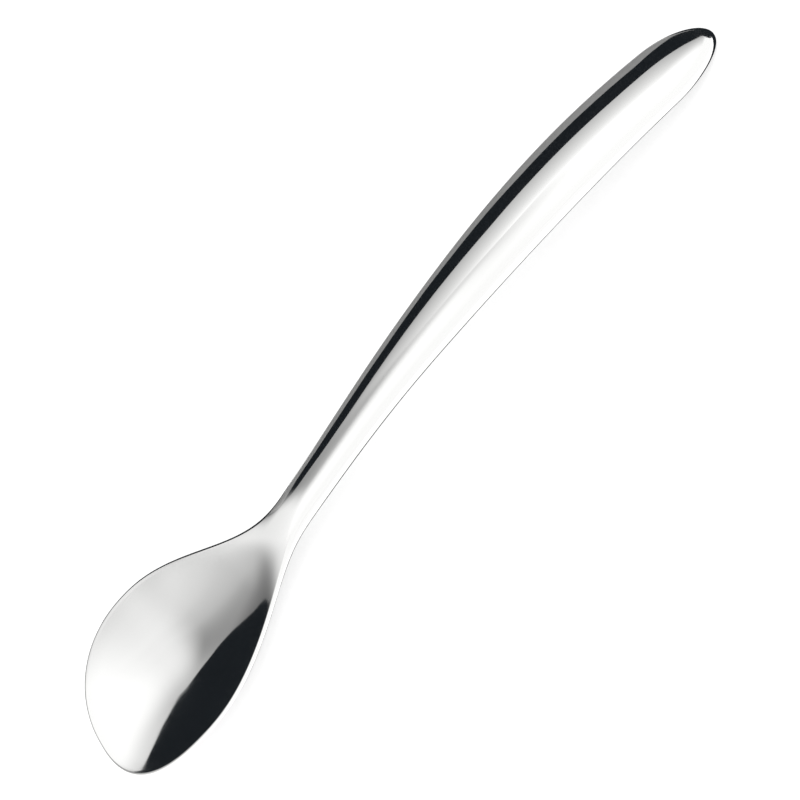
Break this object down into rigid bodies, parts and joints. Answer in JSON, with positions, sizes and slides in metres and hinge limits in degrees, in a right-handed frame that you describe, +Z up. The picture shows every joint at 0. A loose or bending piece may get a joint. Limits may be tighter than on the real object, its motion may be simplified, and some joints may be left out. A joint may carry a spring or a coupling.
{
  "type": "toddler spoon",
  "caption": "Small one-piece stainless steel spoon with a shallow egg-shaped bowl, a slim neck and a broad, domed, gently arched handle with a rounded end, mirror polished.",
  "frame": {"origin": "under the middle of the spoon's length, on the plane it lies on", "axes": "+X along the spoon towards the tip of the bowl, +Z up with the spoon lying on its back, the XZ plane is its plane of symmetry"},
  "size_m": [0.14, 0.0282, 0.0104],
  "materials": {
    "polished_steel": "stainless steel, mirror polished"
  },
  "bodies": {
    "root": {"spoon": "polished_steel"}
  },
  "joints": []
}
